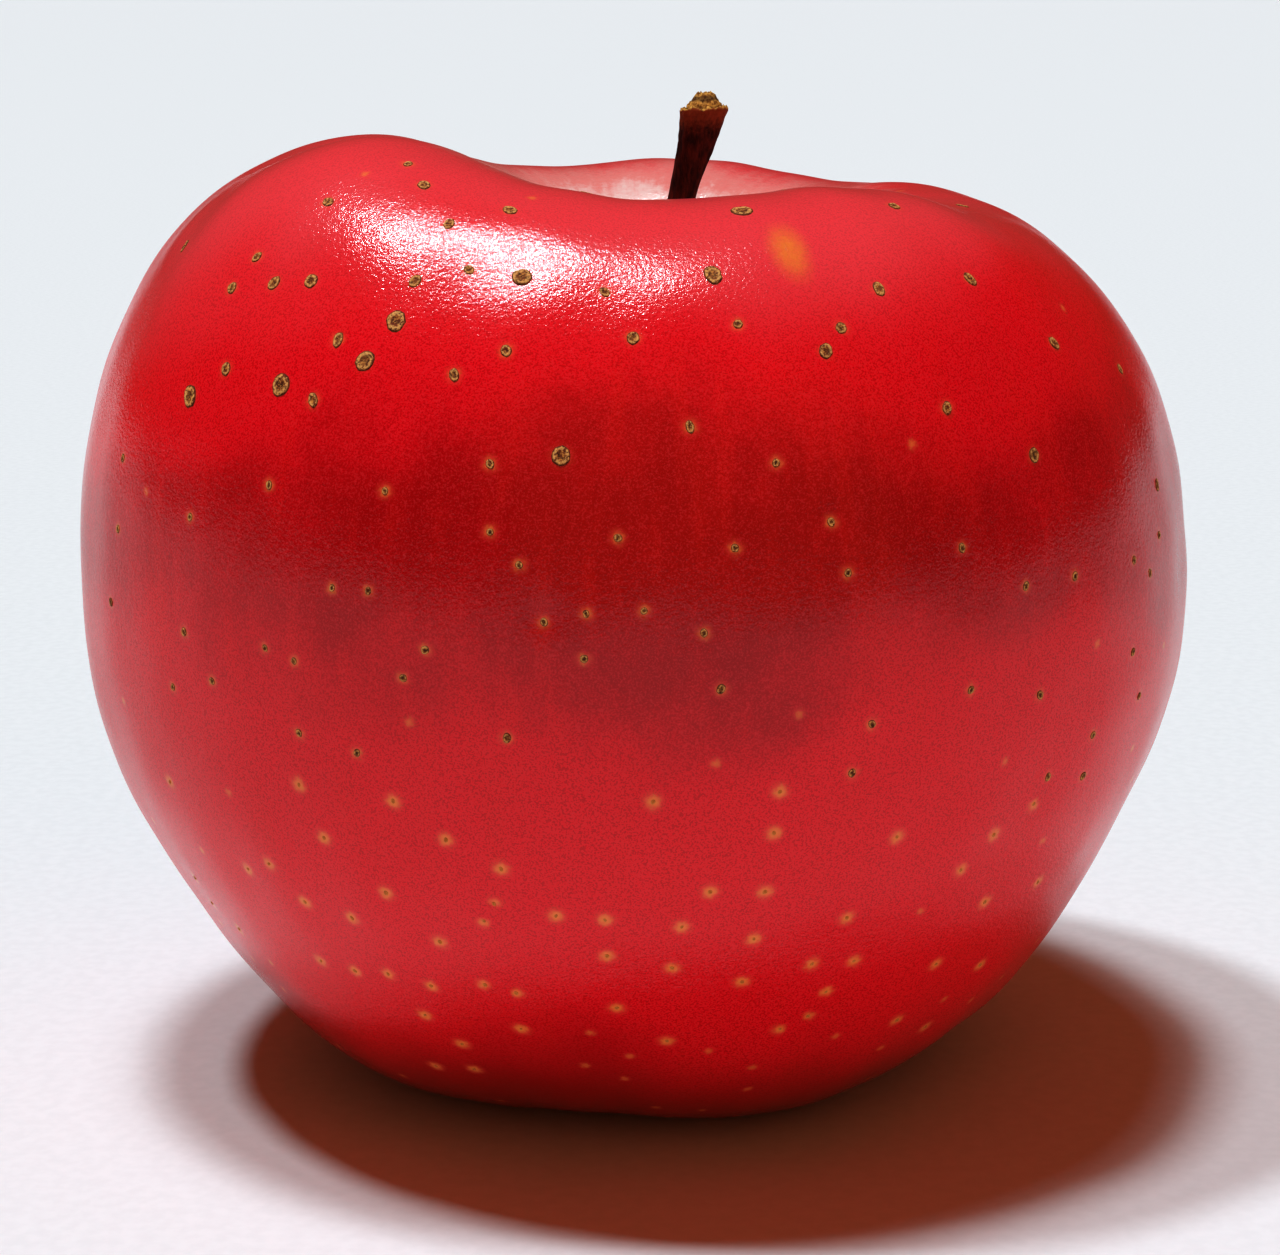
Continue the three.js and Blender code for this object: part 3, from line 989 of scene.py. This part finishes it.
def skin_patterns(shader):
    """The coordinates and noises that the layers of the skin share, by name."""
    place = shader.place()
    x, y, z = shader.parts(place)
    level = shader.combine(x, y, 0.0)
    round_it = shader.vector("SCALE", shader.vector("NORMALIZE", level), scale=STREAK_RADIUS)
    ring_x, ring_y, _ = shader.parts(round_it)
    streak_place = shader.combine(ring_x, ring_y, shader.times(z, STREAK_SQUEEZE))
    skin = {"place": place, "x": x, "z": z, "out": shader.vector("LENGTH", level)}
    for name, settings in SKIN_NOISES.items():
        skin[name] = shader.noise(place, *settings)
    skin["streaks"] = shader.noise(streak_place, *STREAK_NOISE)
    skin["ragged_z"] = shader.math("MULTIPLY_ADD", skin["clouds"], CLOUD_RISE, z)
    return skin


def crimson(shader, skin):
    """The red: a darker band of painted shade below the shoulder, painted light above, below and to both
    sides, mottled, streaked and finely flecked.
    """
    # Painted light and shade: brighter above and below the shaded band and towards both sides.
    above = shader.spread(skin["ragged_z"], *PAINTED_LIGHT_ABOVE)
    below = shader.spread(skin["ragged_z"], *PAINTED_LIGHT_BELOW)
    beside = shader.spread(shader.math("ABSOLUTE", skin["x"]), *PAINTED_LIGHT_BESIDE)
    tone = shader.math("ADD", shader.math("ADD", above, below), beside)
    for name, weight in TONE_WEIGHTS.items():
        tone = shader.math("MULTIPLY_ADD", skin[name], weight, tone)
    colour = shader.mix(shader.spread(tone, *TONE_RANGE), DEEP_RED, BRIGHT_RED)
    for name, low, high, strength, layer_colour in RED_LAYERS:
        colour = shader.mix(shader.spread(skin[name], low, high, 0.0, strength), colour, layer_colour)
    return colour


def with_ground(shader, skin, colour, patch):
    """The orange ground colour, which shows through in a narrow patch on the shoulder."""
    patch_place, patch_normal = patch
    from_middle = shader.vector("SUBTRACT", skin["place"], tuple(patch_place))
    edge = 0.0
    for direction, reach in zip((*spot_frame(patch_normal), patch_normal), GROUND_REACH):
        distance = shader.vector("DOT_PRODUCT", from_middle, tuple(direction))
        distance = shader.math("DIVIDE", distance, reach)
        edge = shader.math("MULTIPLY_ADD", distance, distance, edge)
    for name in ("patches", "flecks"):
        edge = shader.math("MULTIPLY_ADD", skin[name], 2.0, edge)
    share = shader.spread(edge, *GROUND_EDGE)
    share = shader.times(share, share)
    return shader.mix(shader.times(share, GROUND_STRENGTH), colour, GROUND_ORANGE)


def with_halos(shader, skin, colour):
    """Ragged pale halos round the lenticels, golden in their middle."""
    middle = shader.vector("SCALE", shader.attribute("halo_middle", "Vector"), scale=1 / MM)
    distance = shader.vector("LENGTH", shader.vector("SUBTRACT", skin["place"], middle))
    ragged = shader.math("MULTIPLY_ADD", skin["flecks"], 0.5, -0.40)
    ragged = shader.math("MULTIPLY_ADD", skin["grain"], 0.3, ragged)
    distance = shader.math("ADD", distance, ragged)
    reach = shader.math("DIVIDE", distance, shader.attribute("halo_size"))
    strength = shader.attribute("halo_strength")
    for edge, full, layer_strength, layer_colour in HALO_LAYERS:
        share = shader.spread(reach, edge, full, 0.0, layer_strength)
        colour = shader.mix(shader.times(share, strength), colour, layer_colour)
    return colour


def with_hollows(shader, skin, colour):
    """The stem cavity's salmon and cream skin, the cream partly painted sheen, green by the stem, and the
    paler skin of the eye.
    """
    ragged_out = skin["out"]
    for name, reach in HOLLOW_RAGS.items():
        ragged_out = shader.math("MULTIPLY_ADD", skin[name], reach, ragged_out)
    near_stem = shader.spread(ragged_out, *CAVITY_REACH)
    in_cavity = shader.times(near_stem, shader.spread(skin["z"], *CAVITY_HEIGHTS))
    near_calyx = shader.spread(ragged_out, *EYE_REACH)
    in_eye = shader.times(near_calyx, shader.spread(skin["z"], *EYE_HEIGHTS))
    # The cream: pale skin and, in the cavity, painted sheen of the lamps.
    pale = shader.mix(shader.spread(ragged_out, *CREAM_AND_SHEEN_REACH), CAVITY_SALMON, CAVITY_CREAM_AND_SHEEN)
    pale = shader.mix(shader.spread(skin["out"], *GREEN_REACH), pale, CAVITY_GREEN)
    share = shader.math("MAXIMUM", in_cavity, shader.times(in_eye, 0.8))
    return shader.mix(shader.times(share, 0.85), colour, pale)


def skin_material(patch):
    """Waxy crimson skin with a pebbled grain. The patch is the place and normal where its ground
    colour shows through."""
    shader = Shader("apple_skin")
    skin = skin_patterns(shader)
    colour = crimson(shader, skin)
    colour = with_ground(shader, skin, colour, patch)
    colour = with_halos(shader, skin, colour)
    colour = with_hollows(shader, skin, colour)
    normal = shader.bump(skin["peel"], 1.0, PEEL_DEPTH)
    wax = shader.bump(skin["peel"], 1.0, WAX_DEPTH)
    wax = shader.bump(skin["patches"], 1.0, WAX_SWELL_DEPTH, wax)
    shader.connect(wax, shader.surface.inputs["Coat Normal"])
    roughness = shader.spread(skin["patches"], 0.3, 0.7, 0.42, 0.48)
    return shader.finish(
        colour, roughness, normal, Specular_IOR_Level=0.03, Coat_Weight=0.8, Coat_Roughness=0.15)


# The lenticels' cork

CORK_BROWN = (0.20, 0.040, 0.012, 1)
CORK_TAN = (0.72, 0.32, 0.08, 1)
CORK_OLIVE = (0.46, 0.26, 0.08, 1)
CORK_CRACK = (0.05, 0.018, 0.008, 1)
CORK_RIM_AND_HIGHLIGHT = (0.96, 0.58, 0.21, 1)
CORK_PIT = (0.045, 0.018, 0.009, 1)
CORK_OUTLINE_AND_SHADE = (0.10, 0.018, 0.007, 1)
CORK_PALE = (0.72, 0.24, 0.05, 1)


def cork_material():
    """Dry cork: a dark pit, a cracked body, a lighter broken rim, partly painted highlight, and a dark
    outline, partly painted shade. Near the base, without an outline, it is paler."""
    shader = Shader("lenticel_cork")
    place = shader.place()
    share = shader.attribute("ring_share")
    speckle = shader.noise(place, 5.5, 2.0, 0.6)
    cracks = shader.noise(place, 2.6, 2.0, 0.6)
    body = shader.mix(shader.spread(speckle, 0.40, 0.68), CORK_BROWN, CORK_TAN)
    body = shader.mix(shader.times(shader.attribute("tone"), 0.4), body, CORK_OLIVE)
    from_crack = shader.math("ABSOLUTE", shader.math("SUBTRACT", cracks, 0.5))
    body = shader.mix(shader.spread(from_crack, 0.05, 0.015, 0.0, 0.8), body, CORK_CRACK)
    # The rim: the cork's own paler rim and painted highlight where the raised rim catches the light.
    rim = shader.times(shader.spread(share, 0.42, 0.66), shader.spread(share, 0.95, 0.82))
    broken = shader.times(rim, shader.spread(speckle, 0.35, 0.55))
    colour = shader.mix(shader.times(broken, 0.60), body, CORK_RIM_AND_HIGHLIGHT)
    pit = shader.times(shader.spread(share, 0.5, 0.2), shader.attribute("pit"))
    colour = shader.mix(pit, colour, CORK_PIT)
    # The outline: the cork's own brown edge and painted shade where it sinks into the skin.
    outline = shader.times(shader.spread(share, 0.86, 0.97), shader.attribute("edge"))
    colour = shader.mix(outline, colour, CORK_OUTLINE_AND_SHADE)
    paler = shader.math("MULTIPLY_ADD", shader.attribute("edge"), -2.0, 0.7)
    colour = shader.mix(shader.math("MAXIMUM", paler, 0.0), colour, CORK_PALE)
    normal = shader.bump(speckle, 0.6, 0.04)
    return shader.finish(colour, 0.72, normal, Specular_IOR_Level=0.15)


# The stem's bark and the dried pieces

BARK_BLACK = (0.028, 0.0016, 0.0010, 1)
BARK_RED = (0.12, 0.011, 0.005, 1)
BARK_BROWN = (0.32, 0.055, 0.016, 1)
WOOD_BROWN = (0.22, 0.085, 0.016, 1)
WOOD_GOLD = (0.74, 0.41, 0.10, 1)
SCAR_PAINTED_SHADE = (0.035, 0.010, 0.004, 1)
SEPAL_DARK = (0.07, 0.035, 0.016, 1)
SEPAL_LIGHT = (0.34, 0.24, 0.12, 1)
SEPAL_FIBRES = 3.0
STAMEN_DARK = (0.03, 0.014, 0.008, 1)
STAMEN_LIGHT = (0.16, 0.085, 0.035, 1)
STAMEN_FIBRES = 4.0
# The bark turns browner between these heights, under the lip.
BROWN_BARK_HEIGHTS = (73.4, 75.4)


def bark_material():
    """Near-black red bark with furrows, browner under the lip, and golden torn wood at its end, with
    painted shade in its groove and pit.
    """
    shader = Shader("stem_bark")
    place = shader.place()
    x, y, z = shader.parts(place)
    stretched = shader.combine(x, y, shader.times(z, 0.25))
    furrows = shader.noise(stretched, 2.4, 4.0, 0.65)
    flecks = shader.noise(place, 3.5, 3.0, 0.6)
    bark = shader.mix(shader.spread(furrows, 0.35, 0.7), BARK_BLACK, BARK_RED)
    ragged_z = shader.math("ADD", z, shader.times(flecks, 2.0))
    bark = shader.mix(shader.spread(ragged_z, *BROWN_BARK_HEIGHTS, 0.0, 0.8), bark, BARK_BROWN)
    torn = shader.mix(shader.spread(flecks, 0.36, 0.62), WOOD_BROWN, WOOD_GOLD)
    # Painted shade in the parted end's groove, on the knob and in its pit.
    torn = shader.mix(shader.attribute("dark"), torn, SCAR_PAINTED_SHADE)
    colour = shader.mix(shader.spread(shader.attribute("wood"), 0.1, 0.9), bark, torn)
    normal = shader.bump(furrows, 0.8, 0.12)
    normal = shader.bump(flecks, 0.5, 0.06, normal)
    return shader.finish(colour, 0.74, normal, Specular_IOR_Level=0.12)


def dry_material(name, dark, light, fibre_scale):
    """A dried plant part: fibres along its length and a mottled dull surface."""
    shader = Shader(name)
    place = shader.place()
    x, y, z = shader.parts(place)
    stretched = shader.combine(x, y, shader.times(z, 0.3))
    fibres = shader.noise(stretched, fibre_scale, 4.0, 0.6)
    mottle = shader.noise(place, 1.6, 4.0, 0.6)
    mixed = shader.times(shader.math("ADD", fibres, mottle), 0.5)
    colour = shader.mix(shader.spread(mixed, 0.38, 0.62), dark, light)
    normal = shader.bump(fibres, 0.7, 0.08)
    return shader.finish(
        colour, 0.85, normal, Specular_IOR_Level=0.25, Sheen_Weight=0.25, Sheen_Roughness=0.5)


# The stage and the light

FLOOR_RADII = (120.0, 400.0, 1500.0, 9000.0, 250000.0)
FLOOR_SIDES = 96
FLOOR_SHADE = (0.78, 0.81, 0.825, 1)
FLOOR_TINT = (0.81, 0.84, 0.855, 1)
LAMP_COLOUR = (0.83, 0.94, 1.0)
ROOM_COLOUR = (1.0, 0.39, 0.15)
ROOM_STRENGTH = 0.145
# Far lamps: name, direction, strength in watts per square metre, width in degrees and colour.
LAMPS = (
    ("left", (-0.33, 0.01, 1.0), 1.5, 6.0, LAMP_COLOUR),
    ("middle", (-0.11, 0.0, 1.0), 1.5, 8.0, LAMP_COLOUR),
    ("right", (-0.03, 0.0, 1.0), 0.45, 8.0, LAMP_COLOUR),
    ("room", (0.3, -0.9, 0.30), 0.46, 80.0, ROOM_COLOUR),
)
VIEW_GAMMA = 0.78


def floor_material():
    """A dull pale surface with a faint even grain."""
    shader = Shader("pale_floor")
    grain = shader.noise(shader.place(), 0.8, 2.0)
    colour = shader.mix(shader.spread(grain, 0.3, 0.7), FLOOR_SHADE, FLOOR_TINT)
    return shader.finish(colour, 0.9, Specular_IOR_Level=0.05)


def make_stage():
    """A wide, plain, pale floor."""
    angles = angles_round(FLOOR_SIDES)
    points = [(0.0, 0.0, 0.0)]
    for radius in FLOOR_RADII:
        points.extend((radius * math.cos(angle), radius * math.sin(angle), 0.0) for angle in angles)
    floor = make_object("floor", floor_material(), points, disc_faces(len(FLOOR_RADII), FLOOR_SIDES))


def far_lamp(name, direction, strength, width, colour):
    """A lamp so far off that its light is even."""
    data = bpy.data.lights.new(name, "SUN")
    data.energy = strength
    data.color = colour
    data.angle = math.radians(width)
    light = bpy.data.objects.new(name, data)
    light.rotation_euler = Vector(direction).to_track_quat("Z", "Y").to_euler()
    bpy.context.scene.collection.objects.link(light)


def make_lights():
    for lamp in LAMPS:
        far_lamp(*lamp)
    world = bpy.data.worlds.new("studio")
    world.use_nodes = True
    background = world.node_tree.nodes["Background"]
    background.inputs["Color"].default_value = ROOM_COLOUR + (1,)
    background.inputs["Strength"].default_value = ROOM_STRENGTH
    bpy.context.scene.world = world
    bpy.context.scene.view_settings.view_transform = "Standard"
    bpy.context.scene.view_settings.gamma = VIEW_GAMMA


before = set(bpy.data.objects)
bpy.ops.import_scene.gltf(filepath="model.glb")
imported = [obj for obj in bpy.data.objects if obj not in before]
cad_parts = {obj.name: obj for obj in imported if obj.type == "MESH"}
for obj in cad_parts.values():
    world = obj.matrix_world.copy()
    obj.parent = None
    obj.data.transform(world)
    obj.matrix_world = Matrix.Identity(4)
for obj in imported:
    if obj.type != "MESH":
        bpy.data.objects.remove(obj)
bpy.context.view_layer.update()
make_camera()
apple_skin = Skin()
all_spots = spot_list(apple_skin)
make_fruit(apple_skin, all_spots)
make_lenticels(all_spots)
make_stem(apple_skin)
make_calyx(apple_skin)
make_stamens(apple_skin)
make_stage()
make_lights()
